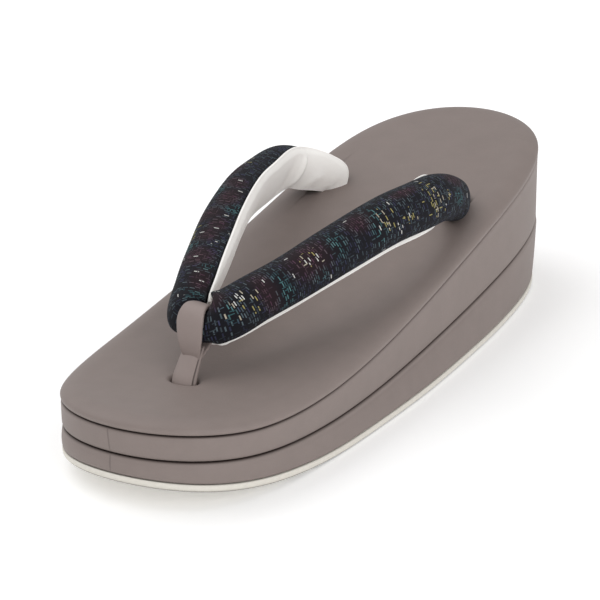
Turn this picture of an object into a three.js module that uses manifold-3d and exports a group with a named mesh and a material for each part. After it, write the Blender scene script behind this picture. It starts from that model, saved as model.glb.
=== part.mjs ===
// Zori sandal: a three-layer wedge sole with a padded V strap held at the front by a leather loop.
// Millimetres, +Z up, toe towards -Y, floor at Z = 0, origin under the middle of the sole.
import * as THREE from 'three';
import Module from 'manifold-3d';

const LENGTH = 240;
const GAP = 0.3;
const HOLE_GAP = 0.45;
const HALF_WIDTH_TERMS = [47.53, 1.46, 6.08, 0.21, 0.44, 0.14];
const OUTLINE_POINTS = 72;
const CAP_COLUMNS = 6;

const TOE_SPRING = { start: 72, rise: 8.7 };
const HEEL_LIFT = { start: 194.4, rise: 2.1 };
const OUTSOLE_THICK = 2.6;

// Heights of the two seams of the sole, by distance from the toe tip.
const SEAM_ROWS = [
  { along: 0, upper: 26.8, lower: 18.0 },
  { along: 30, upper: 22.8, lower: 13.7 },
  { along: 60, upper: 22.6, lower: 11.9 },
  { along: 90, upper: 25.4, lower: 12.1 },
  { along: 120, upper: 30.2, lower: 13.9 },
  { along: 150, upper: 36.2, lower: 16.7 },
  { along: 180, upper: 42.4, lower: 20.2 },
  { along: 210, upper: 47.9, lower: 23.9 },
  { along: 240, upper: 51.9, lower: 27.3 },
];

// How far the foot of the sole stands out from the outline, by distance from the toe tip.
const FLARE_ROWS = [
  { along: 0, out: 0 },
  { along: 40, out: 0.3 },
  { along: 80, out: 1.6 },
  { along: 120, out: 2.4 },
  { along: 160, out: 1.0 },
  { along: 200, out: -1.3 },
  { along: 240, out: -1.6 },
];

// Side profiles from bottom to top: inset from the outline, share of the height, lift in mm, and
// any share of the flare.
const FOOTBED_PROFILE = [
  { inset: 1.0, share: 0, lift: 0 },
  { inset: 0.25, share: 0, lift: 0.55 },
  { inset: 0, share: 0, lift: 1.4 },
  { inset: 0.5, share: 0, lift: 2.4 },
  { inset: 1.6, share: 0, lift: 3.2 },
  { inset: 3.6, share: 0, lift: 3.85 },
  { inset: 6.8, share: 0, lift: 4.2 },
  { inset: 11, share: 0, lift: 4.35 },
];
const MIDDLE_PROFILE = [
  { inset: 2.0, share: 0, lift: 0 },
  { inset: 1.1, share: 0, lift: 0.7 },
  { inset: 0.6, share: 0.5, lift: 0 },
  { inset: 0.15, share: 1, lift: -0.8 },
  { inset: 1.0, share: 1, lift: 0 },
];
const LOWER_PROFILE = [
  { inset: 0.9, share: 0, lift: 0, flare: 1 },
  { inset: 0.6, share: 0.4, lift: 0, flare: 0.6 },
  { inset: 1.0, share: 1, lift: -0.8, flare: 0 },
  { inset: 2.0, share: 1, lift: 0, flare: 0 },
];
const OUTSOLE_PROFILE = [
  { inset: 1.6, share: 0, lift: 0, flare: 1 },
  { inset: 0.9, share: 0, lift: 0.6, flare: 1 },
  { inset: 0.6, share: 1, lift: -0.3, flare: 1 },
  { inset: 0.9, share: 1, lift: 0, flare: 1 },
];

// Right arm of the strap: centre of the section, heading and rise of its outer face in degrees,
// width, thickness, and how far the lining sits below the middle of the foot side.
const STRAP_ROWS = [
  { x: -7.7, y: -66.1, z: 42.4, face: -135, rise: 18, width: 14.6, thick: 10.8, slip: 1.2 },
  { x: 0.0, y: -69.4, z: 40.9, face: -90, rise: 18, width: 14.5, thick: 10.5, slip: 1.0 },
  { x: 7.7, y: -66.1, z: 42.4, face: -45, rise: 18, width: 14.6, thick: 10.8, slip: 1.2 },
  { x: 12.8, y: -53.3, z: 46.6, face: -24, rise: 19, width: 14.9, thick: 11.4, slip: 1.7 },
  { x: 18.8, y: -36.5, z: 50.7, face: -18, rise: 20, width: 15.3, thick: 11.8, slip: 1.9 },
  { x: 24.5, y: -20.0, z: 54.7, face: -17, rise: 22, width: 15.6, thick: 11.7, slip: 1.8 },
  { x: 29.9, y: -0.1, z: 57.9, face: -15, rise: 23, width: 15.6, thick: 11.1, slip: 1.3 },
  { x: 32.7, y: 15.1, z: 57.9, face: -12, rise: 23, width: 15.6, thick: 10.4, slip: 0.8 },
  { x: 33.8, y: 29.2, z: 56.9, face: 4, rise: 16, width: 15.3, thick: 9.7, slip: 0.2 },
  { x: 32.5, y: 40.4, z: 53.9, face: 32, rise: -1, width: 14.8, thick: 9.1, slip: -0.2 },
  { x: 28.2, y: 48.7, z: 50.2, face: 52, rise: -14, width: 13.7, thick: 8.5, slip: -0.1 },
  { x: 24.7, y: 54.4, z: 45.0, face: 60, rise: -22, width: 11.9, thick: 7.9, slip: 0.0 },
  { x: 22.5, y: 56.6, z: 37.7, face: 62, rise: -26, width: 10.4, thick: 7.3, slip: 0.0 },
  { x: 22.5, y: 56.4, z: 29.4, face: 62, rise: -27, width: 9.0, thick: 6.7, slip: 0.0 },
];
const MIDDLE_ROW = 1;
const STRAP_STEP = 0.275;
const STRAP_STEPS = 40;
// How much the toe loop draws the strap in, round the middle row.
const PINCH = { depth: 1.7, reach: 0.9 };
const SECTION_POINTS = 18;
const EDGE_DEPTH = 2.6;
const LINING = { thick: 0.9, share: 1.02, columns: 3 };

const LOOP = { thick: 1.4, sag: 2.8, step: 0.19, steps: 3, roomSteps: 8 };
// Post of the loop: centre and half sizes of its section, from the hole up into the loop.
const POST_ROWS = [
  { y: -80.6, z: 19.4, halfX: 4.1, halfY: 1.9 },
  { y: -79.3, z: 26.6, halfX: 4.3, halfY: 2.1 },
  { y: -76.8, z: 31.2, halfX: 4.0, halfY: 2.1 },
  { y: -73.0, z: 37.0, halfX: 4.0, halfY: 2.3 },
];
const POST_POINTS = 20;

const wasm = await Module();
wasm.setup();

// Value of a column at a fractional row number, on a smooth curve through rows at their knots.
function column(rows, knots, key, at) {
  const last = rows.length - 1;
  const i = Math.min(Math.max(Math.floor(at), 0), last - 1);
  const t = at - i;
  const span = knots[i + 1] - knots[i];
  const slope = (k) => {
    const a = Math.max(k - 1, 0);
    const b = Math.min(k + 1, last);
    return (rows[b][key] - rows[a][key]) / (knots[b] - knots[a]);
  };
  const t2 = t * t;
  const t3 = t2 * t;
  return (2 * t3 - 3 * t2 + 1) * rows[i][key] + (t3 - 2 * t2 + t) * span * slope(i)
    + (3 * t2 - 2 * t3) * rows[i + 1][key] + (t3 - t2) * span * slope(i + 1);
}

const seamKnots = SEAM_ROWS.map((row) => row.along);
const seam = (key) => (s) => column(SEAM_ROWS, seamKnots, key, s / seamKnots[1]);
const flareKnots = FLARE_ROWS.map((row) => row.along);
const flare = (s) => column(FLARE_ROWS, flareKnots, 'out', s / flareKnots[1]);
const strapKnots = STRAP_ROWS.reduce((knots, row, i) => {
  const before = STRAP_ROWS[Math.max(i - 1, 0)];
  const step = Math.hypot(row.x - before.x, row.y - before.y, row.z - before.z);
  return [...knots, (knots[i - 1] ?? 0) + step];
}, []);
const strapAt = (key, at) => column(STRAP_ROWS, strapKnots, key, at);
const underside = (s) => TOE_SPRING.rise * (Math.max(0, TOE_SPRING.start - s) / TOE_SPRING.start) ** 2
  + HEEL_LIFT.rise * (Math.max(0, s - HEEL_LIFT.start) / (LENGTH - HEEL_LIFT.start)) ** 2;

// Point and outward normal of the sole outline; the angle runs from the toe round the +X side.
function outlineAt(angle) {
  const spot = (a) => new THREE.Vector2(
    HALF_WIDTH_TERMS.reduce((sum, term, k) => sum + term * Math.sin((k + 1) * a), 0),
    -LENGTH / 2 * Math.cos(a),
  );
  const side = angle > Math.PI ? -1 : 1;
  const turn = side > 0 ? angle : 2 * Math.PI - angle;
  const step = 1e-4;
  const ahead = spot(turn + step);
  const behind = spot(turn - step);
  const normal = new THREE.Vector2(ahead.y - behind.y, behind.x - ahead.x).normalize();
  const point = spot(turn);
  return { x: side * point.x, y: point.y, nx: side * normal.x, ny: normal.y };
}

// Triangles on shared corners, with flat ones left out.
class Shell {
  constructor() {
    this.corners = [];
    this.index = [];
    this.known = new Map();
  }

  corner(p) {
    const key = p.map((v) => Math.round(v * 5000)).join(' ');
    if (!this.known.has(key)) {
      this.known.set(key, this.corners.length / 3);
      this.corners.push(...p);
    }
    return this.known.get(key);
  }

  triangle(a, b, c) {
    const [i, j, k] = [a, b, c].map((p) => this.corner(p));
    if (i !== j && j !== k && k !== i) this.index.push(i, j, k);
  }

  quad(a, b, c, d) {
    this.triangle(a, b, c);
    this.triangle(a, c, d);
  }

  body() {
    return new wasm.Manifold(new wasm.Mesh({
      numProp: 3,
      vertProperties: new Float32Array(this.corners),
      triVerts: new Uint32Array(this.index),
    }));
  }
}

// Walls between rings that follow one another, each ring running anticlockwise seen from ahead.
function addWalls(shell, rings) {
  for (let i = 0; i + 1 < rings.length; i += 1) {
    const count = rings[i].length;
    for (let j = 0; j < count; j += 1) {
      const k = (j + 1) % count;
      shell.quad(rings[i][j], rings[i][k], rings[i + 1][k], rings[i + 1][j]);
    }
  }
}

// Flat ends on the first and last of a run of rings.
function addEnds(shell, first, last) {
  for (let j = 1; j + 1 < first.length; j += 1) {
    shell.triangle(first[0], first[j + 1], first[j]);
    shell.triangle(last[0], last[j], last[j + 1]);
  }
}

// Cap of a sole ring in strips from side to side, following a height along the sole.
function addCap(shell, ring, height, up) {
  const half = ring.length / 2;
  const strip = (i) => {
    const right = ring[i];
    const left = ring[(ring.length - i) % ring.length];
    return Array.from({ length: CAP_COLUMNS + 1 }, (unused, k) => {
      if (k === 0) return right;
      if (k === CAP_COLUMNS) return left;
      const t = k / CAP_COLUMNS;
      const y = right[1] + (left[1] - right[1]) * t;
      return [right[0] + (left[0] - right[0]) * t, y, height(y + LENGTH / 2)];
    });
  };
  for (let i = 0; i < half; i += 1) {
    const near = strip(i);
    const far = strip(i + 1);
    for (let k = 0; k < CAP_COLUMNS; k += 1) {
      if (up) shell.quad(near[k], far[k], far[k + 1], near[k + 1]);
      else shell.quad(near[k], near[k + 1], far[k + 1], far[k]);
    }
  }
}

// One layer of the sole between two heights, with the given side profile.
function layer(bottom, top, profile) {
  const level = (row) => (s) => bottom(s) + (top(s) - bottom(s)) * row.share + row.lift;
  const rings = profile.map((row) => Array.from({ length: OUTLINE_POINTS }, (unused, i) => {
    const p = outlineAt(2 * Math.PI * i / OUTLINE_POINTS);
    const inset = row.inset - (row.flare ?? 0) * flare(p.y + LENGTH / 2);
    const y = p.y - p.ny * inset;
    const x = i % (OUTLINE_POINTS / 2) === 0 ? 0 : p.x - p.nx * inset;
    return [x, y, level(row)(y + LENGTH / 2)];
  }));
  const shell = new Shell();
  addWalls(shell, rings);
  addCap(shell, rings[0], level(profile[0]), false);
  addCap(shell, rings[rings.length - 1], level(profile[profile.length - 1]), true);
  return shell.body();
}

// Frame of the strap at a fractional row number: centre, across and outer directions.
function strapFrame(at) {
  const centre = (t) => new THREE.Vector3(...['x', 'y', 'z'].map((key) => strapAt(key, t)));
  const tangent = centre(at + 0.02).sub(centre(at - 0.02)).normalize();
  const face = THREE.MathUtils.degToRad(strapAt('face', at));
  const rise = THREE.MathUtils.degToRad(strapAt('rise', at));
  const outer = new THREE.Vector3(
    Math.cos(face) * Math.cos(rise), Math.sin(face) * Math.cos(rise), Math.sin(rise),
  );
  outer.addScaledVector(tangent, -outer.dot(tangent)).normalize();
  const across = new THREE.Vector3().crossVectors(outer, tangent);
  return { centre: centre(at), tangent, across, outer };
}

// Closed solid through rings that start on the middle plane, and through their mirror images.
function mirroredBody(right) {
  const left = right.slice(1).reverse().map((points) => points.map(([x, y, z]) => [-x, y, z]));
  const shell = new Shell();
  addWalls(shell, [...left, ...right]);
  addEnds(shell, left[0], right[right.length - 1]);
  return shell.body();
}

// Closed solid along both arms, so many steps out from the middle row on each side;
// section(at) lists [across, outer] pairs.
function sweep(steps, section) {
  const right = Array.from({ length: steps + 1 }, (unused, i) => {
    const at = MIDDLE_ROW + STRAP_STEP * i;
    const { centre, across, outer } = strapFrame(at);
    return section(at).map(([b, n]) => centre.clone().addScaledVector(across, b)
      .addScaledVector(outer, n).toArray());
  });
  return mirroredBody(right);
}

const pinch = (at) => PINCH.depth * Math.exp(-(((at - MIDDLE_ROW) / PINCH.reach) ** 4));

// Padded section: a domed outer face over a flat foot side, grown outwards by a margin.
function paddedSection(at, margin) {
  const half = strapAt('width', at) / 2 - pinch(at) + margin;
  const thick = strapAt('thick', at) - pinch(at);
  const edge = EDGE_DEPTH - thick / 2;
  return Array.from({ length: SECTION_POINTS }, (unused, j) => {
    const a = 2 * Math.PI * (j + 0.5) / SECTION_POINTS;
    const c = Math.cos(a);
    const s = Math.sin(a);
    const b = half * Math.sign(c) * Math.abs(c) ** 0.85;
    const n = s > 0 ? edge + (thick / 2 - edge + margin) * s ** 0.85
      : edge - (EDGE_DEPTH + margin) * Math.abs(s) ** 0.45;
    return [b, n];
  });
}

// Flat section of the lining cloth under the foot side.
function liningSection(at) {
  const half = (strapAt('width', at) / 2 - pinch(at)) * LINING.share;
  const top = (pinch(at) - strapAt('thick', at)) / 2 - GAP;
  const low = top - LINING.thick;
  const across = Array.from({ length: LINING.columns + 1 },
    (unused, k) => half * (2 * k / LINING.columns - 1) - strapAt('slip', at));
  return [...across.map((b) => [b, low]), ...across.reverse().map((b) => [b, top])];
}

// Section round strap and lining together, grown outwards by a margin.
function coverSection(at, margin) {
  const dome = paddedSection(at, margin).slice(0, SECTION_POINTS / 2);
  const lining = liningSection(at);
  const edges = lining.map(([b]) => b);
  const floor = Math.min(...lining.map(([, n]) => n)) - margin;
  const left = Math.min(...edges) - margin;
  const right = Math.max(...edges, dome[0][0] - margin) + margin;
  return [...dome, [left, dome[dome.length - 1][1]], [left, floor], [right, floor], [right, dome[0][1]]];
}

// Outside of the loop round the front of the strap, in planes across the shoe; it sags in front.
function loopOutside() {
  const right = Array.from({ length: LOOP.steps + 1 }, (unused, i) => {
    const at = MIDDLE_ROW + LOOP.step * i;
    const { centre, tangent } = strapFrame(at);
    const rise = THREE.MathUtils.degToRad(strapAt('rise', at));
    const half = strapAt('width', at) / 2;
    return coverSection(at, GAP + LOOP.thick).map(([b, n]) => {
      const front = THREE.MathUtils.clamp(0.6 + n / half, 0, 1);
      const low = b + LOOP.sag * front * Math.min(b, 0) / half;
      return [
        centre.x,
        centre.y - n * Math.cos(rise) / tangent.x + low * Math.sin(rise),
        centre.z + n * Math.sin(rise) + low * Math.cos(rise),
      ];
    });
  });
  return mirroredBody(right);
}

// Post of the toe loop: a squared oval section through its rows, grown by a margin.
function post(margin) {
  const rings = POST_ROWS.map((row) => Array.from({ length: POST_POINTS }, (unused, j) => {
    const a = 2 * Math.PI * j / POST_POINTS;
    const squared = (v) => Math.sign(v) * Math.abs(v) ** 0.6;
    return [
      (row.halfX + margin) * squared(Math.cos(a)),
      row.y + (row.halfY + margin) * squared(Math.sin(a)),
      row.z,
    ];
  }));
  const shell = new Shell();
  addWalls(shell, rings);
  addEnds(shell, rings[0], rings[rings.length - 1]);
  return shell.body();
}

const seamUpper = seam('upper');
const seamLower = seam('lower');
const shifted = (height, by) => (s) => height(s) + by;
const outsoleTop = shifted(underside, OUTSOLE_THICK);
const cover = (margin) => (at) => coverSection(at, margin);

const strap = sweep(STRAP_STEPS, (at) => paddedSection(at, 0));
const lining = sweep(STRAP_STEPS, liningSection);
const toeLoop = loopOutside()
  .add(post(0))
  .subtract(sweep(LOOP.roomSteps, cover(GAP)))
  .simplify(0.01);

const holes = sweep(STRAP_STEPS + 1, cover(HOLE_GAP)).add(post(GAP));
const footbedBase = shifted(seamUpper, GAP / 2);
const footbed = layer(footbedBase, footbedBase, FOOTBED_PROFILE).subtract(holes);
const middle = layer(shifted(seamLower, GAP / 2), shifted(seamUpper, -GAP / 2), MIDDLE_PROFILE)
  .subtract(holes);
const lower = layer(shifted(outsoleTop, GAP), shifted(seamLower, -GAP / 2), LOWER_PROFILE);
const outsole = layer(underside, outsoleTop, OUTSOLE_PROFILE);

const LEATHER = { color: 0x857b76, roughness: 0.62, metalness: 0 };
const RUBBER = { color: 0xd9d5ca, roughness: 0.7, metalness: 0 };
const STRAP_CLOTH = { color: 0x1c1c22, roughness: 0.85, metalness: 0 };
const LINING_CLOTH = { color: 0xe6e2d8, roughness: 0.9, metalness: 0 };

const shoe = new THREE.Group();
shoe.name = 'zori';
function addPiece(name, solid, look) {
  const mesh = solid.getMesh();
  const geometry = new THREE.BufferGeometry();
  const position = new Float32Array(mesh.numVert * 3);
  for (let i = 0; i < mesh.numVert; i += 1) {
    position.set(mesh.vertProperties.subarray(i * mesh.numProp, i * mesh.numProp + 3), i * 3);
  }
  geometry.setAttribute('position', new THREE.BufferAttribute(position, 3));
  geometry.setIndex(new THREE.BufferAttribute(new Uint32Array(mesh.triVerts), 1));
  geometry.computeVertexNormals();
  const piece = new THREE.Mesh(geometry, new THREE.MeshStandardMaterial(look));
  piece.name = name;
  shoe.add(piece);
}
addPiece('outsole', outsole, RUBBER);
addPiece('lower_layer', lower, LEATHER);
addPiece('middle_layer', middle, LEATHER);
addPiece('footbed', footbed, LEATHER);
addPiece('strap', strap, STRAP_CLOTH);
addPiece('strap_lining', lining, LINING_CLOTH);
addPiece('toe_loop', toeLoop, LEATHER);

export default shoe;
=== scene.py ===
"""Zori sandal: sole layers, padded strap, lining and toe loop.
Tables are in millimetres, toe towards -Y, floor at Z = 0; meshes are in metres."""

import bmesh
import bpy
import numpy as np
from mathutils import Matrix


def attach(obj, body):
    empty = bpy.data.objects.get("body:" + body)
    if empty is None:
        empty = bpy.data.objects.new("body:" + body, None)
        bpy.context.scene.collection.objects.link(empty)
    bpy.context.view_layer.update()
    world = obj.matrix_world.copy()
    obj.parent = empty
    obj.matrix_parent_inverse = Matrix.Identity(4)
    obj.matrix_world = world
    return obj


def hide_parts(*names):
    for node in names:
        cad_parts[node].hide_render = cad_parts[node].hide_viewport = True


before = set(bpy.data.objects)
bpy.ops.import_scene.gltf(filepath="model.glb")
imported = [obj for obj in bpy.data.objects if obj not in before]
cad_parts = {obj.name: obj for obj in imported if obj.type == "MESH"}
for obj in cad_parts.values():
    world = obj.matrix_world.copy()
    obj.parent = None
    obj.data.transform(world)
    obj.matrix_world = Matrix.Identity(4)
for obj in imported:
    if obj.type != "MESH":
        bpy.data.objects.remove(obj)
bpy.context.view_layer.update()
scene = bpy.context.scene

MM = 0.001
SOLE_LENGTH = 240.0
# Gap between two layers where the seam is open, and what is left of it where the seam is closed.
GAP = 0.3
CLOSED_GAP = 0.04
# Half width of the sole: heights of its sines. Toe and heel: where the underside starts to rise and how
# far it rises.
HALF_WIDTH_TERMS = np.array([47.53, 1.46, 6.08, 0.21, 0.44, 0.14])
TOE_SPRING = {"start": 72.0, "rise": 8.7}
HEEL_LIFT = {"start": 194.4, "rise": 2.1}
OUTSOLE_THICK = 2.6

# Heights of the two seams, by distance from the toe tip.
SEAM_ALONG = np.arange(0.0, 241.0, 30.0)
SEAM_UPPER = np.array([26.8, 22.8, 22.6, 25.4, 30.2, 36.2, 42.4, 47.9, 51.9])
SEAM_LOWER = np.array([18.0, 13.7, 11.9, 12.1, 13.9, 16.7, 20.2, 23.9, 27.3])

# How far the lower edge stands out, and how open the two seams are, by distance from the toe tip.
FLARE_ALONG = np.arange(0.0, 241.0, 40.0)
FLARE_OUT = np.array([0.0, 0.3, 1.6, 2.4, 1.0, -1.3, -1.6])
UPPER_OPEN = np.array([1.0, 1.0, 0.75, 0.5, 0.45, 0.42, 0.15, 0.0, 0.0])
LOWER_OPEN = np.array([1.0, 1.0, 0.9, 0.85, 0.85, 0.8, 0.68, 0.3, 0.05])
ALL_OPEN = np.ones(len(SEAM_ALONG))
# Joint of the cover at the toe: place across, half width, and how far back it goes.
TOE_JOINT = {"x": -1.0, "half": 0.22, "reach": -100.0}
# Left of the toe, where the upper edge is drawn in: angle round the outline and reach.
TRIM = {"at": 5.75, "reach": 0.4}

# Side profiles from bottom to top: inset, share of the height, lift, how dark the seam is (edge dye with
# painted shade of the open gap; on the outsole, painted contact shade along its lower edge), share of the
# flare, and how much deeper an open seam cuts in.
FOOTBED_PROFILE = np.array([
    [0.6, 0, 0.0, 1.0, 0, 1.6], [0.3, 0, 0.03, 1.0, 0, 0.7], [0.1, 0, 0.3, 0.3, 0, 0.22],
    [0.02, 0, 0.9, 0, 0, 0.04], [0.02, 0, 1.6, 0, 0, 0], [0.5, 0, 2.4, 0, 0, 0], [1.6, 0, 3.2, 0, 0, 0],
    [3.6, 0, 3.95, 0, 0, 0], [6.4, 0, 4.42, 0, 0, 0], [11.0, 0, 4.35, 0, 0, 0],
])
MIDDLE_PROFILE = np.array([
    [1.4, 0, 0.0, 1.0, 0, 1.6], [1.1, 0, 0.04, 1.0, 0, 0.8], [0.95, 0, 0.4, 0.25, 0, 0.3],
    [0.9, 0, 1.1, 0, 0, 0.08], [0.6, 0.5, 0, 0, 0, 0], [0.25, 1, -1.5, 0, 0, 0.03],
    [0.22, 1, -0.6, 0.05, 0, 0.15], [0.4, 1, -0.08, 0.8, 0, 0.5], [0.8, 1, 0.0, 1.0, 0, 1.3],
])
LOWER_PROFILE = np.array([
    [2.0, 0, 0.0, 0.6, 1.0, 0], [1.0, 0, 0.05, 0.3, 1.0, 0], [0.75, 0, 0.5, 0, 1.0, 0],
    [0.6, 0.4, 0, 0, 0.6, 0], [0.75, 1, -1.8, 0, 0, 0.03], [0.85, 1, -0.7, 0.05, 0, 0.15],
    [1.0, 1, -0.08, 0.8, 0, 0.5], [1.4, 1, 0.0, 1.0, 0, 1.3],
])
# The outsole's dark rows at the bottom are painted contact shade.
OUTSOLE_PROFILE = np.array([
    [2.2, 0, 0.0, 0.9, 1, 0], [1.4, 0, 0.1, 0.9, 1, 0], [0.9, 0, 0.6, 0.2, 1, 0], [0.7, 0.5, 0, 0, 1, 0],
    [0.65, 1, -0.5, 0, 1, 0], [0.85, 1, -0.1, 0, 1, 0], [1.6, 1, 0.0, 0, 1, 0],
])

# Right arm of the strap from the toe loop back: centre, heading and rise of the outer face in degrees,
# width and thickness.
STRAP_ROWS = np.array([
    [-7.7, -66.1, 42.4, -135, 18, 14.6, 10.8],
    [0.0, -69.4, 40.9, -90, 18, 14.5, 10.5],
    [7.7, -66.1, 42.4, -45, 18, 14.6, 10.8],
    [12.8, -53.3, 46.6, -24, 19, 14.9, 11.4],
    [18.8, -36.5, 50.7, -18, 20, 15.3, 11.8],
    [24.5, -20.0, 54.7, -17, 22, 15.6, 11.7],
    [29.9, -0.1, 57.9, -15, 23, 15.6, 11.1],
    [32.7, 15.1, 57.9, -12, 23, 15.6, 10.4],
    [33.8, 29.2, 56.9, 4, 16, 15.3, 9.7],
    [32.5, 40.4, 53.9, 32, -1, 14.8, 9.1],
    [28.2, 48.7, 50.2, 52, -14, 13.7, 8.5],
    [24.7, 54.4, 45.0, 60, -22, 11.9, 7.9],
    [22.5, 56.6, 37.7, 62, -26, 10.4, 7.3],
    [22.5, 56.4, 29.4, 62, -27, 9.0, 6.7],
])
STRAP_SPANS = np.linalg.norm(np.diff(STRAP_ROWS[:, :3], axis=0), axis=1)
STRAP_KNOTS = np.concatenate([[0], np.cumsum(STRAP_SPANS)])
STRAP_KNOTS -= STRAP_KNOTS[1]
# Depth of the strap's foot side, the powers that square its section, and the most its thickness grows.
EDGE_DEPTH = 2.6
SECTION_POWERS = {"across": 0.85, "dome": 0.85, "foot": 0.45}
THICKER_LIMIT = 0.8
# Each arm from the toe loop back: how much wider it is to each side, and how far it sits up.
LEFT_SWELL = np.array([
    [0, -2.3, 0], [4, -2.2, 0], [6, -1.3, 0], [8, -0.1, 0], [15, 0.1, 0], [25, 0.6, 0.1], [40, 0.9, 0.2],
    [55, 0.6, 0.2], [75, 0.1, 0], [100, 0, 0], [160, 0, 0],
])
RIGHT_SWELL = np.array([
    [0, -2.3, 0], [3.2, -2.2, 0], [5, -0.8, 0.6], [8.5, 0.8, 2.1], [15, 0.6, 1.4], [23, 0.3, 0.7],
    [35, 0.1, 0.2], [50, 0.2, 0.3], [85, 0.5, 0.6], [102, 0.5, 0.7], [114, 0.3, 0.4], [126, 0, 0],
    [160, 0, 0],
])
# Rear end of each arm: how far it sits from its rows, in x, y and z, by distance from the toe loop.
LEFT_SHIFT = np.array([
    [0, 0, 0, 0], [95, 0, 0, 0], [112, -0.7, -1.0, 0], [126, -1.8, -2.6, 0], [134, -1.6, -2.6, 0.8],
    [140, -1.4, -2.4, 2.0], [146, -4.0, -4.3, 2.2], [152, -7.5, -6.8, 2.2], [160, -9.0, -8.0, 2.0],
])
RIGHT_SHIFT = np.array([
    [0, 0, 0, 0], [98, 0, 0, 0], [106, -0.2, -0.4, 0], [112, -0.6, -0.8, -0.5], [118, -1.0, -0.9, -1.2],
    [126, -1.0, -0.9, -2.0], [160, -1.0, -0.9, -2.2],
])
# Lining by signed distance along the strap: how far it passes the strap's lower edge and stops short of
# the upper one, how far it swells towards the foot and how far it wraps over the upper edge.
LINING_ROWS = np.array([
    [-150, 0.0, 0.0, 0.6, 0.0], [-134, -0.7, -0.3, 1.6, 0.4], [-126, -0.7, -0.5, 2.0, 0.8],
    [-116, -1.4, -0.5, 1.8, 1.0], [-108, -0.2, -0.5, 1.2, 1.0], [-100, 0.8, -0.5, 0.9, 1.0],
    [-84, 1.2, -0.5, 0.9, 1.0], [-60, 1.9, -0.5, 1.2, 1.0], [-36, 1.7, -0.2, 0.9, 0.8],
    [-20, 0.7, 0.6, 0.4, 0.3], [-9, 0.2, 1.2, 0.2, 0.0], [0, 0.4, 1.2, 0.2, 0.0],
    [10, 0.8, 1.2, 0.3, 0.0], [22, 1.75, 1.6, 0.3, 0.0], [45, 1.8, 1.8, 0.3, 0.0],
    [70, 1.65, 1.7, 0.3, 0.0], [90, 1.3, 1.9, 0.3, 0.0], [100, 1.3, 1.2, 0.3, 0.0],
    [105, 1.3, 0.4, 0.3, 0.3], [109, 0.8, 0.2, 0.3, 0.3], [114, -1.6, 1.0, 0.3, 0.2],
    [120, -3.0, 1.6, 0.3, 0.0], [150, -1.0, 1.0, 0.2, 0.0],
])
# Lining: thickness, how far it ends before the strap, points round each edge, and where across its upper
# part starts to wrap over and how the wrap grows.
LINING_THICK = 0.9
LINING_SHORT = 2
LINING_EDGE_POINTS = 5
LINING_LAP = {"start": 0.78, "span": 0.22, "power": 1.5}
# Toe loop: half sizes of its path up, down, to the front and back, its thickness, the slope of its width
# and its place from the middle of the strap. Then the powers that square its path and its edges, and how
# much of the front hangs low.
LOOP = {"top": 6.9, "low": 11.6, "front": 5.2, "back": 7.3, "thick": 1.3, "slope": -0.1, "lift": 0.6,
        "ahead": 0.12, "lean": 0.13, "aside": -0.7}
LOOP_POWERS = {"edge": 0.35, "up": 0.8, "front_up": 0.8, "front_low": 0.6, "back": 0.7}
LOOP_FRONT_SHARE = 0.6
# Half width of the loop by turn round its path in degrees: top, front, bottom, back.
LOOP_REACH = np.array([[0, 3.3], [45, 4.1], [90, 4.7], [135, 3.5], [180, 2.2], [225, 2.3], [270, 2.0],
                       [315, 2.4], [360, 3.3]])
# Post of the toe loop: centre and half sizes, from the hole up into the loop. Then the fold between its two
# layers, its turn, the powers that square it, and where its sides begin, which carry painted shade in the
# fold.
POST_ROWS = np.array([
    [-80.6, 19.4, 4.4, 2.7], [-79.2, 26.5, 4.5, 2.8], [-76.4, 31.0, 4.2, 2.3], [-72.5, 36.0, 3.7, 1.7],
])
POST_FOLD = {"at": -0.35, "width": 0.14, "depth": 0.1}
POST_TURN = -0.1
POST_POWERS = {"across": 0.8, "deep": 0.95}
POST_SIDE = 0.8
# Holes in the footbed: centre, heading of the long axis in degrees, half sizes, depth of the dip.
HOLE_ROWS = np.array([
    [0.0, -79.4, 0, 4.9, 3.0, 3.4],
    [23.6, 54.4, 150, 6.4, 4.4, 3.2],
    [-27.4, 51.2, 30, 6.4, 4.4, 3.2],
])
# Dips round the holes: the wide dent's depth and spread, where the steep mouth starts and how soft its
# edge is, the largest exponent, and the depth over which painted shade grows in the mouth and where that
# starts.
DIP = {"dent": 0.35, "spread": 2.6, "mouth": 0.98, "edge": 0.07, "steepest": 50, "shade_over": 3,
       "shade_from": 0.25}
# Soft folds: a line between two points, its width and its height. On the strap the points are along and
# round it, on the lining along and across it.
STRAP_FOLDS = np.array([
    [126, -4, 132, 6, 1.2, -0.5], [119, 5, 124, 9, 1.1, -0.6], [9, -7, 13, 6, 1.6, 0.35],
])
LINING_FOLDS = np.array([
    [-113, -9, -121, 4, 1.9, -1.0], [-106, -6, -114, 5, 3.0, 0.5], [-127, -6, -131, -1, 1.8, -0.4],
])
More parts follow.
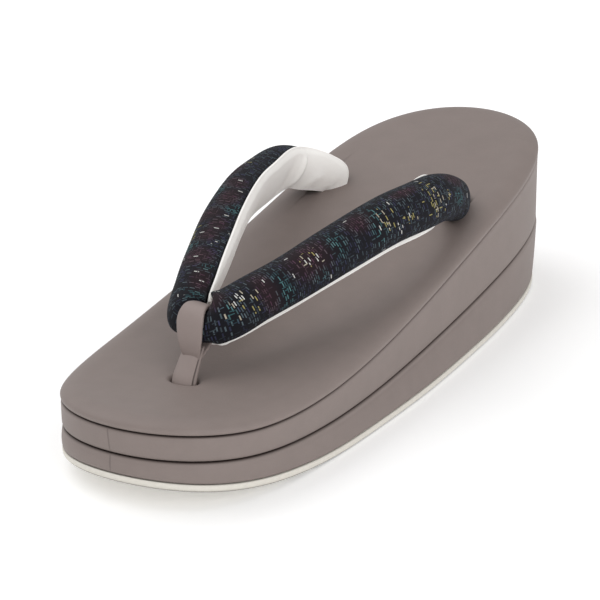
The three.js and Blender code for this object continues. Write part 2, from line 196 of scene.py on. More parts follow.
# Colour patches of the cloth: along and round the strap, and reach both ways.
PATCHES = {
    "wine": [[23.5, -2, 3.8, 9], [42, -5, 9, 7.5], [64.5, -6.5, 5.5, 4.5], [86, -7.6, 6, 2.2],
             [8, -8, 4, 4], [112, -6, 5, 3], [-63.5, -10.4, 6, 4], [-53, -6, 4, 6],
             [-46.6, -11.6, 4.5, 3.5], [-40.8, -9.5, 4, 4], [-28.9, -8.6, 5, 6], [-18.2, -12, 5, 4],
             [-84, -2, 7, 6], [-73, -9, 4, 5]],
    "teal": [[10.1, -2.7, 2, 5], [28.5, 0, 4, 7], [43.2, 1.7, 3, 2.5], [53, -4, 3, 5], [70, -5, 4, 5],
             [69.2, 0.5, 3, 4], [111, 0.5, 3, 3], [-57, -14.6, 3, 3], [-23.7, -13, 2, 3],
             [-10.9, -10.4, 3, 4], [-35, -5, 3, 3], [-70, -3, 5, 6], [-100, 0, 6, 6]],
    "gold": [[15.5, -3.3, 5, 5.5], [7.3, -0.5, 2, 1.5], [42, -4, 4.5, 3.5], [74.5, -2.5, 3.2, 4],
             [82, 0.5, 3.5, 2.5], [96, -1.8, 4.5, 7], [104.8, -0.5, 2, 2], [-44, 0, 5, 5],
             [-92, -3, 5, 5]],
    "pale": [[13.5, -4.5, 2.2, 3.2], [4.9, 0.4, 1.5, 1.5], [40.5, -5, 1.8, 1.8], [44.5, -3, 1.5, 1.5],
             [73.9, -0.5, 1.5, 1.2], [78, 2.8, 1.5, 2], [101.5, -1, 2, 4], [106.4, 5, 1.5, 2],
             [-52.3, -14.8, 1.5, 2], [-36.9, -14.6, 2, 2], [-28.4, -10, 2, 2], [-11.7, -7, 2, 2]],
}
# Two sets of dashes, across and along the strap: cell length and pitch of the rows, half the share of the
# cell that the dash fills each way, a number of its own, the share of cells with a dash, and how many of
# them are gold or white.
DASH_SETS = (
    {"length": 2.2, "pitch": 0.8, "long_share": 0.37, "wide_share": 0.21, "seed": 3.0, "density": 0.62,
     "lit": 1.0},
    {"length": 2.1, "pitch": 1.0, "long_share": 0.35, "wide_share": 0.16, "seed": 11.0, "density": 0.3,
     "lit": 0.3},
)
# Threads of the cloth, in linear colour: the ground and its wine patches, the darkest thread, and the two
# ends of each kind of thread.
THREADS = {
    "ground": ((0.0055, 0.0055, 0.009, 1), (0.016, 0.0075, 0.011, 1)),
    "darkest": (0.010, 0.012, 0.020, 1),
    "cool": ((0.13, 0.18, 0.205, 1), (0.065, 0.07, 0.15, 1)),
    "teal": ((0.02, 0.06, 0.07, 1), (0.13, 0.32, 0.33, 1)),
    "wine": ((0.03, 0.010, 0.016, 1), (0.16, 0.05, 0.07, 1)),
    "gold": ((0.33, 0.29, 0.11, 1), (0.42, 0.38, 0.30, 1)),
    "white": (0.62, 0.62, 0.60, 1),
}
# Shares of dashes: indigo among the cool ones, wine and gold in their patches, where gold turns to cream,
# white in its patches and white anywhere.
THREAD_SHARES = {"indigo": 0.4, "wine": 0.7, "gold": 0.36, "cream_from": 0.55, "white": 0.25,
                 "stray": 0.015}
# Threads of the weave: radians per millimetre in the strap's cloth and per unit of the map in the lining.
KASURI_WEAVE = 14.0
LINING_WEAVE = 1100.0
# Millimetres of cloth in one unit of its map.
UV_MM = 100.0

# Leather cloth: shader values, the mottling, pebbles and creases by their number per metre and strength,
# and how dark and deep the joint at the toe is.
LEATHER = {"rough": 0.56, "shine": 0.4, "mottle_size": 140, "mottle": 0.07, "pebble_size": 1500.0,
           "crease_size": 420, "crease": 0.8, "joint_dark": 0.45, "joint_deep": 4.0, "depth": 0.00005,
           "strength": 0.55}
# Dark brown of the seams and of the toe joint: edge dye, with painted shade in the open seam gaps, the
# mouths of the holes and the post's fold.
SEAM_DYE_AND_SHADE_BROWN = (0.050, 0.035, 0.030, 1)
SOLE_COLOUR = (0.208, 0.169, 0.155)
LOOP_COLOUR = (0.262, 0.212, 0.197)

# Points closer than this, in metres, are one point.
MERGE_SOLE = 1e-7
MERGE_STRAP = 1e-8

# Camera of the photograph: turn, tip and roll in degrees, a point it faces, how far it stands from there
# and its offsets, and its focal length in pixels of the square picture. AIM turns it a little and makes
# its lens longer.
PHOTO = {"angles": [35.047, 19.882, -2.859], "point": [0, 0, 25], "away": 983.02, "right": -42.138,
         "up": 47.505, "focal": 2003.33, "pixels": 600}
AIM = {"side": -0.0394, "head": 0.0469, "zoom": 1.47}
SENSOR = 36
# Soft lights: name, place in metres, side length and power. They face a point just over the floor.
LIGHTS = (("key", (-0.9, -0.1, 1.3), 1.6, 9.5), ("fill", (1.25, -0.6, 0.55), 1.0, 6.4))
LIGHT_AIM = (0, 0, 0.03)
SURROUND = 0.74
FLOOR = {"half": 3, "colour": (0.95, 0.95, 0.95), "rough": 0.9, "glow": 0.18}
WHITE = (1, 1, 1, 1)


def curve(knots, values, at):
    """Smooth curve through values at knots: a cubic in each span, and at each knot the slope of the
    chord between its two neighbours."""
    knots, values, at = (np.asarray(v, float) for v in (knots, values, at))
    order = np.arange(len(knots))
    before, after = np.maximum(order - 1, 0), np.minimum(order + 1, len(knots) - 1)
    more = (1,) * (values.ndim - 1)
    slope = (values[after] - values[before]) / (knots[after] - knots[before]).reshape(-1, *more)
    i = np.clip(np.searchsorted(knots, at, side="right") - 1, 0, len(knots) - 2)
    span = (knots[i + 1] - knots[i]).reshape(*at.shape, *more)
    t = (at - knots[i]).reshape(*at.shape, *more) / span
    return ((2 * t**3 - 3 * t**2 + 1) * values[i] + (t**3 - 2 * t**2 + t) * span * slope[i]
            + (3 * t**2 - 2 * t**3) * values[i + 1] + (t**3 - t**2) * span * slope[i + 1])


def unit(v):
    """Vectors scaled to length one."""
    return v / np.linalg.norm(v, axis=-1, keepdims=True)


def squared(value, power):
    """A sine or cosine raised to a power, with its sign kept, which squares an oval section."""
    return np.sign(value) * np.abs(value)**power


def grid_faces(rows, columns, wrap):
    """Quads between the points of a grid, row after row, closed round the columns where wrap is set."""
    i, j = np.meshgrid(np.arange(rows - 1), np.arange(columns if wrap else columns - 1), indexing="ij")
    k = (j + 1) % columns
    return np.stack([i * columns + j, i * columns + k, (i + 1) * columns + k, (i + 1) * columns + j],
                    axis=-1).reshape(-1, 4)


def mesh_piece(name, points, faces, uv=None, marks=None, ends=()):
    """Object from points in millimetres and quads, with end polygons, a UV map per face corner and
    named values per point."""
    mesh = bpy.data.meshes.new(name)
    mesh.from_pydata((points.reshape(-1, 3) * MM).tolist(), [], [list(f) for f in faces.tolist()]
                     + [list(map(int, e)) for e in ends])
    if uv is not None:
        layer = mesh.uv_layers.new(name="cloth")
        flat = np.zeros((len(mesh.loops), 2))
        flat[:len(uv)] = uv
        layer.data.foreach_set("uv", flat.ravel())
    for key, values in (marks or {}).items():
        mark = mesh.attributes.new(key, "FLOAT", "POINT")
        mark.data.foreach_set("value", np.asarray(values, float).ravel())
    mesh.polygons.foreach_set("use_smooth", np.ones(len(mesh.polygons), bool))
    mesh.update()
    piece = bpy.data.objects.new(name, mesh)
    scene.collection.objects.link(piece)
    return piece


def joined(piece, reach):
    """Merges points that coincide, so that seams and poles are closed."""
    work = bmesh.new()
    work.from_mesh(piece.data)
    bmesh.ops.remove_doubles(work, verts=work.verts, dist=reach)
    bmesh.ops.recalc_face_normals(work, faces=work.faces)
    work.to_mesh(piece.data)
    work.free()
    return piece


def dress(piece, node, material):
    """Puts a piece on the body in place of a solid, with its material."""
    piece.data.materials.append(material)
    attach(piece, "root")
    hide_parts(node)
    return piece


def underside(s):
    """Height of the outsole's lower face: flat, with the toe and the heel lifted along squares."""
    toe = np.maximum(0, TOE_SPRING["start"] - s) / TOE_SPRING["start"]
    heel = np.maximum(0, s - HEEL_LIFT["start"]) / (SOLE_LENGTH - HEEL_LIFT["start"])
    return TOE_SPRING["rise"] * toe**2 + HEEL_LIFT["rise"] * heel**2


def outsole_top(s):
    """Height of the outsole's upper face: its lower face plus its thickness."""
    return underside(s) + OUTSOLE_THICK


def lower_base(s):
    """Height of the lower layer's underside: a gap over the outsole."""
    return outsole_top(s) + GAP


def beside_seam(heights, by):
    """Height of a layer's face along the sole: the smooth curve through a seam's heights plus a step."""
    return lambda s: curve(SEAM_ALONG, heights, s) + by


def outline(angle):
    """Sole outline and its outward normal: half width is a sum of sines, length runs as a cosine."""
    k = np.arange(1, len(HALF_WIDTH_TERMS) + 1)
    turn = np.where(angle > np.pi, 2 * np.pi - angle, angle)
    side = np.where(angle > np.pi, -1.0, 1.0)
    x = np.sin(turn[:, None] * k) @ HALF_WIDTH_TERMS
    y = -SOLE_LENGTH / 2 * np.cos(turn)
    dx = np.cos(turn[:, None] * k) @ (HALF_WIDTH_TERMS * k)
    dy = SOLE_LENGTH / 2 * np.sin(turn)
    normal = unit(np.stack([dy, -dx], axis=1))
    return np.stack([side * x, y], axis=1), normal * np.stack([side, np.ones_like(side)], axis=1)


def fine_profile(rows, steps):
    """Profile rows joined by a smooth curve over the row number, the share of height kept in 0 to 1."""
    at = np.linspace(0, len(rows) - 1, (len(rows) - 1) * steps + 1)
    made = curve(np.arange(len(rows)), rows, at)
    made[:, 1] = np.clip(made[:, 1], 0, 1)
    return made


def footbed_dip(x, y):
    """Depth of the dips round the holes: a soft wide dent and a steep mouth on an oval distance."""
    hx, hy, turn, a, b, depth = (HOLE_ROWS[:, k].reshape(-1, *(1,) * x.ndim) for k in range(6))
    c, s = np.cos(np.radians(turn)), np.sin(np.radians(turn))
    u = ((x - hx) * c + (y - hy) * s) / a
    v = ((y - hy) * c - (x - hx) * s) / b
    r = np.hypot(u, v)
    dent = DIP["dent"] * np.exp(-(r / DIP["spread"])**2)
    mouth = depth / (1 + np.exp(np.minimum((r - DIP["mouth"]) / DIP["edge"], DIP["steepest"])))
    return (dent + mouth).sum(axis=0)


def soft_lines(rows, a, b):
    """Soft troughs and ridges: the height of each row falls off with the distance from its line along a
    bell curve."""
    a0, b0, a1, b1, width, height = (rows[:, k].reshape(-1, *(1,) * a.ndim) for k in range(6))
    da, db = a1 - a0, b1 - b0
    t = np.clip(((a - a0) * da + (b - b0) * db) / (da**2 + db**2), 0, 1)
    gap = np.hypot(a - a0 - t * da, b - b0 - t * db)
    return (height * np.exp(-(gap / width)**2)).sum(axis=0)


def sole_layer(name, bottom, top, opens, profile, across, trim=(0, 0), dips=False, joint=0.0,
               around=600, steps=3):
    """One layer of the sole: the side profile carried round the outline, drawn in along a bell curve left
    of the toe, closed by two caps whose strips run from side to side and follow the height along the
    sole."""
    rows = fine_profile(profile, steps)
    angle = np.linspace(0, 2 * np.pi, around, endpoint=False)
    flat, normal = outline(angle)
    along = flat[:, 1] + SOLE_LENGTH / 2
    is_top = rows[:, 1] > 0.5
    flare = curve(FLARE_ALONG, FLARE_OUT, along)
    opening = [curve(SEAM_ALONG, v, along) for v in opens]
    opened = np.where(is_top[:, None], opening[1], opening[0])
    inset = rows[:, 0, None] - rows[:, 4, None] * flare + rows[:, 5, None] * opened
    drawn = trim[0] + (trim[1] - trim[0]) * rows[:, 1, None]
    away = (angle - TRIM["at"] + np.pi) % (2 * np.pi) - np.pi
    inset = inset + drawn * np.exp(-(away / TRIM["reach"])**2)
    xy = flat[None] - normal[None] * inset[..., None]
    xy[:, [0, around // 2], 0] = 0

    def level(y, row):
        """Height of a profile row: its share between the layer's two faces, plus its lift, and dark rows
        move towards the other layer where the seam is closed."""
        s = y + SOLE_LENGTH / 2
        upper = row[1] > 0.5
        closed = (1 - curve(SEAM_ALONG, opens[1 if upper else 0], s)) * (GAP - CLOSED_GAP) / 2
        return (bottom(s) * (1 - row[1]) + top(s) * row[1] + row[2]
                + row[3] * closed * (1 if upper else -1))

    z = np.stack([level(xy[i, :, 1], rows[i]) for i in range(len(rows))])
    wall = np.concatenate([xy, z[..., None]], axis=2)
    half = around // 2 + 1
    share = np.linspace(0, 1, across)[None, :, None]
    caps = []
    for ring, row in ((wall[0], rows[0]), (wall[-1], rows[-1])):
        right, left = ring[:half], ring[(-np.arange(half)) % around]
        cap = right[:, None] * (1 - share) + left[:, None] * share
        cap[..., 2] = level(cap[..., 1], row)
        caps.append(cap)
    # Painted shade of the open seams, with the edge dye: as dark as the profile row says, fading where the
    # seam closes.
    dark = [np.clip(rows[:, 3, None], 0, 1) * opened, np.zeros((2 * half, across))]
    if dips:
        dip = footbed_dip(caps[1][..., 0], caps[1][..., 1])
        caps[1][..., 2] -= dip
        # Painted shade in the mouths of the holes: darker the deeper the dip.
        dark[1][half:] = np.clip(dip / DIP["shade_over"] - DIP["shade_from"], 0, 1)
    cap_faces = grid_faces(half, across, False)
    offset = wall.shape[0] * around
    points = np.concatenate([v.reshape(-1, 3) for v in (wall, *caps)])
    faces = np.concatenate([grid_faces(len(rows), around, True), cap_faces + offset,
                            cap_faces + offset + half * across])
    marks = {"seam_dye_and_shade": np.concatenate([v.ravel() for v in dark]),
             "toe_joint": np.full(len(points), joint)}
    return joined(mesh_piece(name, points, faces, marks=marks), MERGE_SOLE)


def strap_frame(along):
    """Frame of the strap at signed distances from the toe loop: centre, across and outer directions, half
    width, thickness and rise. Negative distances mirror the right arm. The outer direction is turned
    square to the path, the centre is moved by each arm's own tables."""
    d, side = np.abs(along), np.where(along < 0, -1.0, 1.0)
    row = curve(STRAP_KNOTS, STRAP_ROWS, d)
    step = 0.15
    ahead, behind = (curve(STRAP_KNOTS, STRAP_ROWS[:, :3], d + by) for by in (step, -step))
    tangent = unit(ahead - behind)
    face, rise = np.radians(row[:, 3]), np.radians(row[:, 4])
    outer = np.stack([np.cos(face) * np.cos(rise), np.sin(face) * np.cos(rise), np.sin(rise)], axis=1)
    outer = unit(outer - (outer * tangent).sum(1, keepdims=True) * tangent)
    across = np.cross(outer, tangent)
    mirror = np.stack([side, np.ones_like(side), np.ones_like(side)], axis=1)
    across, outer = across * mirror, outer * mirror
    right = side[:, None] > 0
    wider, up = np.where(right, curve(RIGHT_SWELL[:, 0], RIGHT_SWELL[:, 1:], d),
                         curve(LEFT_SWELL[:, 0], LEFT_SWELL[:, 1:], d)).T
    shift = np.where(right, curve(RIGHT_SHIFT[:, 0], RIGHT_SHIFT[:, 1:], d),
                     curve(LEFT_SHIFT[:, 0], LEFT_SHIFT[:, 1:], d))
    centre = row[:, :3] * mirror + shift + up[:, None] * across
    return {"centre": centre, "across": across, "outer": outer, "half": row[:, 5] / 2 + wider,
            "thick": row[:, 6] + np.minimum(wider, THICKER_LIMIT), "rise": rise}


def padded_section(half, thick, angle):
    """Section of the padded strap: a dome over a nearly flat foot side, both squared ovals."""
    c, s = np.cos(angle)[None], np.sin(angle)[None]
    half, thick = half[:, None], thick[:, None]
    edge = EDGE_DEPTH - thick / 2
    across = half * squared(c, SECTION_POWERS["across"])
    dome = edge + (thick / 2 - edge) * np.abs(s)**SECTION_POWERS["dome"]
    foot = edge - EDGE_DEPTH * np.abs(s)**SECTION_POWERS["foot"]
    return across, np.where(s > 0, dome, foot)


def carried(shape, across, outward):
    """Points of a section carried along the strap: centre plus across and outer offsets."""
    return (shape["centre"][:, None] + across[..., None] * shape["across"][:, None]
            + outward[..., None] * shape["outer"][:, None])


def corner_values(values, rows, columns):
    """Values on a grid with one column more than the wrapped faces, listed by face corner."""
    i, j = np.meshgrid(np.arange(rows - 1), np.arange(columns), indexing="ij")
    return np.stack([values[i, j], values[i, j + 1], values[i + 1, j + 1], values[i + 1, j]],
                    axis=2).reshape(-1, values.shape[-1])


def round_run(points):
    """Length round each ring from its first point, with one value more than the ring has points."""
    ring = np.concatenate([points, points[:, :1]], axis=1)
    run = np.cumsum(np.linalg.norm(np.diff(ring, axis=1), axis=2), axis=1)
    return np.pad(run, ((0, 0), (1, 0)))


def end_rings(steps, around):
    """Point numbers of the first and the last ring of a tube, each ordered to face outwards."""
    ring = np.arange(around)
    return [ring[::-1], (steps - 1) * around + ring]


def strap_pad(steps, around):
    """The padded strap: its section carried along both arms, with soft folds and with a map of the lengths
    round and along it. Colour patches are flat-topped bells on that map."""
    along = np.linspace(-STRAP_KNOTS[-1], STRAP_KNOTS[-1], steps)
    shape = strap_frame(along)
    angle = np.linspace(-np.pi / 2, 1.5 * np.pi, around, endpoint=False)
    across, outward = padded_section(shape["half"], shape["thick"], angle)
    run = round_run(carried(shape, across, outward))
    u = run - run[:, [around // 2]]
    v = np.repeat(along[:, None], around + 1, axis=1)
    fold = soft_lines(STRAP_FOLDS, v[:, :-1], u[:, :-1]) * np.clip(np.sin(angle), 0, 1)
    points = carried(shape, across, outward + fold)
    marks = {}
    for key, rows in PATCHES.items():
        v0, u0, dv, du = (np.array(rows, float)[:, k].reshape(-1, 1, 1) for k in range(4))
        marks[key] = np.exp(-(((v[:, :-1] - v0) / dv)**2 + ((u[:, :-1] - u0) / du)**2)**2).max(axis=0)
    uv = corner_values(np.stack([u, v], axis=2) / UV_MM, steps, around)
    piece = mesh_piece("strap_pad", points, grid_faces(steps, around, True), uv, marks,
                       end_rings(steps, around))
    return joined(piece, MERGE_STRAP)


def strap_lining(steps, columns):
    """Lining cloth under the foot side of the strap: a thin strip with rounded edges that swells towards
    the foot as a square of the distance across, with soft folds, and laps over the upper edge."""
    reach = STRAP_KNOTS[-1] - LINING_SHORT
    along = np.linspace(-reach, reach, steps)
    shape = strap_frame(along)
    below, short, swell, wrap = curve(LINING_ROWS[:, 0], LINING_ROWS[:, 1:], along).T[..., None]
    half = shape["half"][:, None]
    low, high = -half - below, half - short
    t = np.linspace(-1, 1, columns)
    edge = np.linspace(-np.pi / 2, np.pi / 2, LINING_EDGE_POINTS + 2)[1:-1]
    r = LINING_THICK / 2
    tip, flat = np.ones(LINING_EDGE_POINTS), np.zeros(columns)
    share = np.concatenate([t, tip, t[::-1], -tip])[None]
    over = np.concatenate([flat, np.cos(edge), flat, -np.cos(edge)])[None] * r
    depth = np.concatenate([flat - r, r * np.sin(edge), flat + r, -r * np.sin(edge)])
    b = (low + high) / 2 + (high - low) / 2 * share + over
    bulge = swell * (1 - share**2) - soft_lines(LINING_FOLDS, along[:, None] + 0 * b, b) * (1 - share**4)
    lapped = np.clip(share - LINING_LAP["start"], 0, LINING_LAP["span"]) / LINING_LAP["span"]
    lap = wrap * lapped**LINING_LAP["power"]
    n = depth[None] - (shape["thick"] / 2 + GAP + r)[:, None] - np.maximum(bulge, 0) + lap
    points = carried(shape, b, n)
    count = b.shape[1]
    v = np.repeat(along[:, None], count + 1, axis=1)
    uv = corner_values(np.stack([round_run(points), v], axis=2) / UV_MM, steps, count)
    piece = mesh_piece("strap_lining_cloth", points, grid_faces(steps, count, True), uv,
                       ends=end_rings(steps, count))
    return joined(piece, MERGE_STRAP)


def loop_band(around, across):
    """Band of the toe loop: a closed oval path round the strap, hanging lower in front, with a rounded
    flat section that is widest in front."""
    turn = np.linspace(0, 2 * np.pi, around, endpoint=False)
    edge = np.linspace(0, 2 * np.pi, across, endpoint=False)
    width = squared(np.cos(edge), LOOP_POWERS["edge"])
    depth = squared(np.sin(edge), LOOP_POWERS["edge"])
    reach = curve(LOOP_REACH[:, 0], LOOP_REACH[:, 1], np.degrees(turn))
    x = reach[:, None] * width[None]
    inside = LOOP["thick"] * (0.5 * depth[None] - 0.5) + 0 * x
    c, s = np.cos(turn)[:, None], np.sin(turn)[:, None]
    fore = np.abs(s)**np.where(c > 0, LOOP_POWERS["front_up"], LOOP_POWERS["front_low"])
    aft = np.abs(s)**LOOP_POWERS["back"]
    n = np.where(s > 0, (LOOP["front"] + inside) * fore, -(LOOP["back"] + inside) * aft)
    front = np.clip(LOOP_FRONT_SHARE + n / LOOP["back"], 0, 1)
    low = LOOP["back"] + (LOOP["low"] - LOOP["back"]) * front
    b = np.where(c > 0, LOOP["top"] + inside, -(low + inside)) * np.abs(c)**LOOP_POWERS["up"]
    middle = strap_frame(np.zeros(1))
    rise = middle["rise"][0]
    y, z = middle["centre"][0, 1] - LOOP["ahead"], middle["centre"][0, 2] + LOOP["lift"]
    x = x + LOOP["aside"] - LOOP["lean"] * np.minimum(b, 0)
    points = np.stack([x, y - n * np.cos(rise) + b * np.sin(rise),
                       z + n * np.sin(rise) + b * np.cos(rise) + LOOP["slope"] * x], axis=2)
    faces = grid_faces(around + 1, across, True) % (around * across)
    return joined(mesh_piece("toe_loop_band", points, faces), MERGE_STRAP)


def loop_post(steps, around):
    """Post of the toe loop: two layers of leather as one squared oval section through its rows, with the
    fold between them as a groove in both sides, with painted shade in the groove."""
    last = len(POST_ROWS) - 1
    rows = curve(np.arange(last + 1), POST_ROWS, np.linspace(0, last, steps))
    a = np.linspace(0, 2 * np.pi, around, endpoint=False)
    c = squared(np.cos(a), POST_POWERS["across"])
    s = squared(np.sin(a), POST_POWERS["deep"])
    groove = np.exp(-((s - POST_FOLD["at"]) / POST_FOLD["width"])**2)
    x = rows[:, 2, None] * (c * (1 - POST_FOLD["depth"] * groove))[None]
    points = np.stack([x, rows[:, 0, None] + rows[:, 3, None] * s[None] + POST_TURN * x,
                       np.repeat(rows[:, 1, None], around, axis=1)], axis=2)
    # Painted shade in the fold groove, on the post's sides only.
    dark = np.repeat((groove**2 * (np.abs(c) > POST_SIDE))[None], steps, axis=0)
    piece = mesh_piece("toe_loop_post", points, grid_faces(steps, around, True),
                       marks={"seam_dye_and_shade": dark}, ends=end_rings(steps, around))
    return joined(piece, MERGE_STRAP)


class Finish:
    """A material's nodes, with short calls to make and join them."""

    def __init__(self, name, colour, roughness, **sockets):
        self.material = bpy.data.materials.new(name)
        self.material.use_nodes = True
        self.tree = self.material.node_tree
        self.shader = self.tree.nodes["Principled BSDF"]
        self.shader.inputs["Base Color"].default_value = (*colour, 1)
        self.shader.inputs["Roughness"].default_value = roughness
        for key, value in sockets.items():
            self.shader.inputs[key.replace("_", " ")].default_value = value

    def node(self, kind, links=None, **settings):
        """Adds a node with its settings and its inputs."""
        made = self.tree.nodes.new(kind)
        for key, value in settings.items():
            setattr(made, key, value)
        for key, value in (links or {}).items():
            self.put(made.inputs[key], value)
        return made

    def put(self, socket, value):
        """Joins a socket to another one, or sets its value."""
        if isinstance(value, bpy.types.NodeSocket):
            self.tree.links.new(value, socket)
        else:
            socket.default_value = value

    def sum(self, operation, a, b=0.0, c=0.0):
        """One step of arithmetic."""
        return self.node("ShaderNodeMath", {0: a, 1: b, 2: c}, operation=operation).outputs[0]

    def mix(self, share, a, b):
        """Colour a changed to colour b by a share."""
        made = self.node("ShaderNodeMix", data_type="RGBA")
        for socket, value in zip((made.inputs[0], made.inputs[6], made.inputs[7]), (share, a, b)):
            self.put(socket, value)
        return made.outputs[2]

    def place(self):
        """Place on the piece, in its own metres."""
        return self.node("ShaderNodeTexCoord").outputs["Object"]

    def noise(self, place, scale, detail):
        """Cloudy values from 0 to 1."""
        return self.node("ShaderNodeTexNoise", {"Vector": place, "Scale": scale,
                                                "Detail": detail}).outputs["Fac"]

    def mark(self, name):
        """A value that the mesh carries on its points."""
        return self.node("ShaderNodeAttribute", attribute_name=name).outputs["Fac"]

    def bump(self, height, depth, strength):
        """Small relief on the surface from a height."""
        made = self.node("ShaderNodeBump", {"Height": height, "Distance": depth, "Strength": strength})
        self.put(self.shader.inputs["Normal"], made.outputs[0])

    def colour(self, value):
        """Sets the surface's colour."""
        self.put(self.shader.inputs["Base Color"], value)


def cover_leather(name, colour):
    """Smooth leather cloth: fine pebble grain, faint mottling, dark brown in the joint of the cover at the
    toe, and dark brown in the seams from edge dye with painted shade, plus painted shade in the hole mouths
    and the post's fold."""
    made = Finish(name, colour, LEATHER["rough"], Specular_IOR_Level=LEATHER["shine"])
    place = made.place()
    mottle = made.noise(place, LEATHER["mottle_size"], 3)
    deep, light = ((*(c * (1 + by) for c in colour), 1) for by in (-LEATHER["mottle"], LEATHER["mottle"]))
    base = made.mix(mottle, deep, light)
    split = made.node("ShaderNodeSeparateXYZ", {0: place}).outputs
    off = made.sum("ABSOLUTE", made.sum("SUBTRACT", split[0], TOE_JOINT["x"] * MM))
    line = made.node("ShaderNodeMapRange", {0: off, 1: 2 * TOE_JOINT["half"] * MM, 2: 0.0}).outputs[0]
    line = made.sum("MULTIPLY", line, made.sum("LESS_THAN", split[1], TOE_JOINT["reach"] * MM))
    line = made.sum("MULTIPLY", line, made.sum("MULTIPLY", made.mark("toe_joint"), LEATHER["joint_dark"]))
    # Painted shade in the seam gaps, hole mouths and the post's fold (with the seams' edge dye), and the
    # toe joint's own dark line.
    dark = made.sum("MAXIMUM", made.mark("seam_dye_and_shade"), line)
    made.colour(made.mix(dark, base, SEAM_DYE_AND_SHADE_BROWN))
    pebble = made.node("ShaderNodeTexVoronoi", {"Vector": place, "Scale": LEATHER["pebble_size"]})
    crease = made.sum("MULTIPLY", made.noise(place, LEATHER["crease_size"], 3), LEATHER["crease"])
    grain = made.sum("ADD", pebble.outputs["Distance"], crease)
    grain = made.sum("SUBTRACT", grain, made.sum("MULTIPLY", line, LEATHER["joint_deep"]))
    made.bump(grain, LEATHER["depth"], LEATHER["strength"])
    return made.material


def outsole_foam():
    """Off-white foam rubber with a fine pitted skin and painted contact shade along the lower edge."""
    made = Finish("outsole_foam", (0.66, 0.63, 0.57), 0.75)
    speck = made.noise(made.place(), 900, 4)
    skin = made.mix(speck, (0.61, 0.58, 0.52, 1), (0.71, 0.68, 0.62, 1))
    # Painted contact shade along the lower edge, from the profile's dark rows.
    made.colour(made.mix(made.mark("seam_dye_and_shade"), skin, (0.10, 0.09, 0.085, 1)))
    made.bump(speck, 0.00012, 0.5)
    return made.material


def lining_cotton():
    """White cotton: plain weave of two sets of threads, soft shading in the cloth."""
    made = Finish("lining_cotton", (0.9, 0.88, 0.85), 0.9, Sheen_Weight=0.25)
    uv = made.node("ShaderNodeUVMap", uv_map="cloth").outputs[0]
    split = made.node("ShaderNodeSeparateXYZ", {0: uv})
    warp, weft = (made.sum("SINE", made.sum("MULTIPLY", split.outputs[k], LINING_WEAVE)) for k in (0, 1))
    soft = made.noise(made.place(), 120, 3)
    made.colour(made.mix(soft, (0.94, 0.91, 0.87, 1), (0.985, 0.97, 0.95, 1)))
    made.bump(made.sum("MULTIPLY_ADD", warp, weft, made.sum("MULTIPLY", soft, 2.0)), 0.00008, 0.4)
    return made.material


def kasuri_cloth():
    """Near-black cloth with kasuri: fine short dashes in rows across and along the strap, blue-grey with
    teal, wine, gold and pale patches."""
    made = Finish("kasuri_cloth", (0.012, 0.012, 0.018), 0.85, Sheen_Weight=0.02, Specular_IOR_Level=0.2)
    uv = made.node("ShaderNodeUVMap", uv_map="cloth").outputs[0]
    split = made.node("ShaderNodeSeparateXYZ", {0: uv})
    u, v = (made.sum("MULTIPLY", split.outputs[k], UV_MM) for k in (0, 1))

    def dashes(long, wide, rule):
        """Dash mask and two random values on rows of cells, each row shifted by a random amount."""
        seed = rule["seed"]
        row = made.sum("DIVIDE", wide, rule["pitch"])
        line = made.sum("FLOOR", row)
        shift = made.node("ShaderNodeTexWhiteNoise", {"W": made.sum("ADD", line, seed)},
                          noise_dimensions="1D").outputs["Value"]
        run = made.sum("ADD", made.sum("DIVIDE", long, rule["length"]), shift)
        cell = made.node("ShaderNodeCombineXYZ", {0: made.sum("FLOOR", run), 1: line, 2: seed})
        luck = made.node("ShaderNodeTexWhiteNoise", {"Vector": cell.outputs[0]}, noise_dimensions="3D")
        tint = made.node("ShaderNodeSeparateColor", {0: luck.outputs["Color"]}).outputs
        mask = made.sum("LESS_THAN", luck.outputs["Value"], rule["density"])
        for value, share in ((run, rule["long_share"]), (row, rule["wide_share"])):
            middle = made.sum("ABSOLUTE", made.sum("SUBTRACT", made.sum("FRACT", value), 0.5))
            mask = made.sum("MULTIPLY", mask, made.sum("LESS_THAN", middle, share))
        return mask, tint[0], tint[1]

    wine, teal, gold, pale = (made.mark(key) for key in ("wine", "teal", "gold", "pale"))
    colour = made.mix(wine, *THREADS["ground"])
    for long, wide, rule in ((u, v, DASH_SETS[0]), (v, u, DASH_SETS[1])):
        mask, luck, other = dashes(long, wide, rule)
        indigo = made.sum("LESS_THAN", other, THREAD_SHARES["indigo"])
        thread = made.mix(luck, THREADS["darkest"], made.mix(indigo, *THREADS["cool"]))
        thread = made.mix(teal, thread, made.mix(luck, *THREADS["teal"]))
        red = made.sum("MULTIPLY", wine, THREAD_SHARES["wine"])
        thread = made.mix(red, thread, made.mix(luck, *THREADS["wine"]))
        cream = made.sum("GREATER_THAN", other, THREAD_SHARES["cream_from"])
        gilt = made.sum("MULTIPLY", gold, THREAD_SHARES["gold"] * rule["lit"])
        gilt = made.sum("LESS_THAN", luck, gilt)
        thread = made.mix(gilt, thread, made.mix(cream, *THREADS["gold"]))
        often = made.sum("MULTIPLY", pale, THREAD_SHARES["white"] * rule["lit"])
        often = made.sum("ADD", often, THREAD_SHARES["stray"] * rule["lit"])
        white = made.sum("LESS_THAN", other, often)
        colour = made.mix(mask, colour, made.mix(white, thread, THREADS["white"]))
    made.colour(colour)
    warp, weft = (made.sum("SINE", made.sum("MULTIPLY", value, KASURI_WEAVE)) for value in (u, v))
    made.bump(made.sum("MULTIPLY", warp, weft), 0.00010, 0.6)
    return made.material


def stand(piece, x, y, z, spot):
    """Links an object and sets it at a spot in metres with its three axes."""
    place = np.eye(4)
    place[:3] = np.stack([x, y, z, spot], axis=1)
    piece.matrix_world = Matrix(place.tolist())
    scene.collection.objects.link(piece)


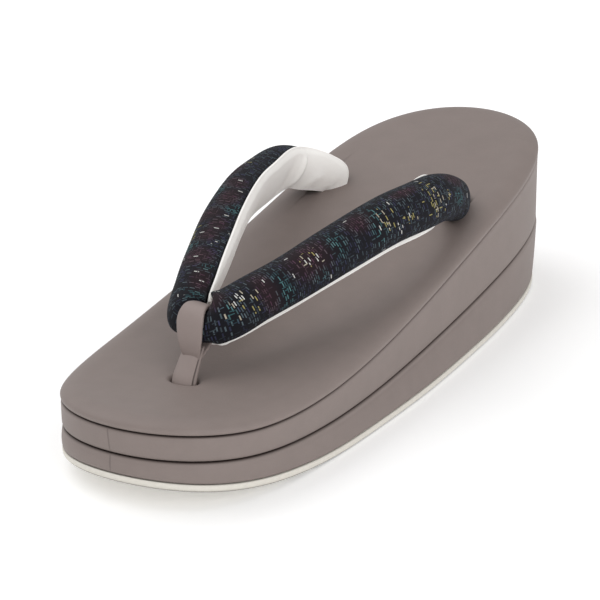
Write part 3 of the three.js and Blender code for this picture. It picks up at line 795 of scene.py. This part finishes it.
def photo_camera():
    """Camera at the photograph's place and roll, aimed at the middle of the sandal with a longer lens."""
    turn, tip, roll = np.radians(PHOTO["angles"])
    back = np.array([np.sin(turn) * np.cos(tip), -np.cos(turn) * np.cos(tip), np.sin(tip)])
    right = np.array([np.cos(turn), np.sin(turn), 0])
    up = np.cross(back, right)
    spot = np.array(PHOTO["point"]) + back * PHOTO["away"] + right * PHOTO["right"] + up * PHOTO["up"]
    side = np.cos(roll) * right + np.sin(roll) * up
    head = -np.sin(roll) * right + np.cos(roll) * up
    back = unit(back + AIM["side"] * side + AIM["head"] * head)
    side = unit(np.cross(head, back))
    camera = bpy.data.objects.new("camera", bpy.data.cameras.new("camera"))
    camera.data.sensor_width = SENSOR
    camera.data.lens = AIM["zoom"] * PHOTO["focal"] / PHOTO["pixels"] * SENSOR
    stand(camera, side, np.cross(back, side), back, spot * MM)
    scene.camera = camera


def studio():
    """Pale floor, even white surround and two large soft lights."""
    h = FLOOR["half"]
    floor_mesh = bpy.data.meshes.new("floor")
    floor_mesh.from_pydata([(-h, -h, 0), (h, -h, 0), (h, h, 0), (-h, h, 0)], [], [(0, 1, 2, 3)])
    floor = bpy.data.objects.new("floor", floor_mesh)
    scene.collection.objects.link(floor)
    finish = Finish("floor_white", FLOOR["colour"], FLOOR["rough"], Emission_Color=WHITE,
                    Emission_Strength=FLOOR["glow"])
    floor_mesh.materials.append(finish.material)
    scene.world = bpy.data.worlds.new("studio")
    scene.world.use_nodes = True
    surround = scene.world.node_tree.nodes["Background"].inputs
    surround[0].default_value = WHITE
    surround[1].default_value = SURROUND
    for name, spot, size, power in LIGHTS:
        lamp = bpy.data.lights.new(name, "AREA")
        lamp.size, lamp.energy = size, power
        z = unit(np.array(spot, float) - LIGHT_AIM)
        x = unit(np.cross((0, 1, 0), z))
        stand(bpy.data.objects.new(name, lamp), x, np.cross(z, x), z, spot)
    scene.view_settings.view_transform = "Standard"


cover = cover_leather("sole_cover", SOLE_COLOUR)
loop_leather = cover_leather("loop_leather", LOOP_COLOUR)
footbed_base = beside_seam(SEAM_UPPER, GAP / 2)
footbed = sole_layer("footbed_pad", footbed_base, footbed_base, (UPPER_OPEN, UPPER_OPEN), FOOTBED_PROFILE,
                     across=121, trim=(1.1, 1.1), dips=True)
dress(footbed, "footbed", cover)
middle = sole_layer("middle_layer_cover", beside_seam(SEAM_LOWER, GAP / 2),
                    beside_seam(SEAM_UPPER, -GAP / 2), (LOWER_OPEN, UPPER_OPEN), MIDDLE_PROFILE,
                    across=21, trim=(0.1, 0.9), joint=1.0)
dress(middle, "middle_layer", cover)
lower = sole_layer("lower_layer_cover", lower_base, beside_seam(SEAM_LOWER, -GAP / 2),
                   (ALL_OPEN, LOWER_OPEN), LOWER_PROFILE, across=21, trim=(0, 0.1), joint=1.0)
dress(lower, "lower_layer", cover)
outsole = sole_layer("outsole_tread", underside, outsole_top, (ALL_OPEN, ALL_OPEN), OUTSOLE_PROFILE,
                     across=41)
dress(outsole, "outsole", outsole_foam())
strap = strap_pad(steps=801, around=96)
dress(strap, "strap", kasuri_cloth())
lining = dress(strap_lining(steps=701, columns=49), "strap_lining", lining_cotton())
dress(loop_band(around=160, across=40), "toe_loop", loop_leather)
dress(loop_post(steps=40, around=200), "toe_loop", loop_leather)

photo_camera()
studio()
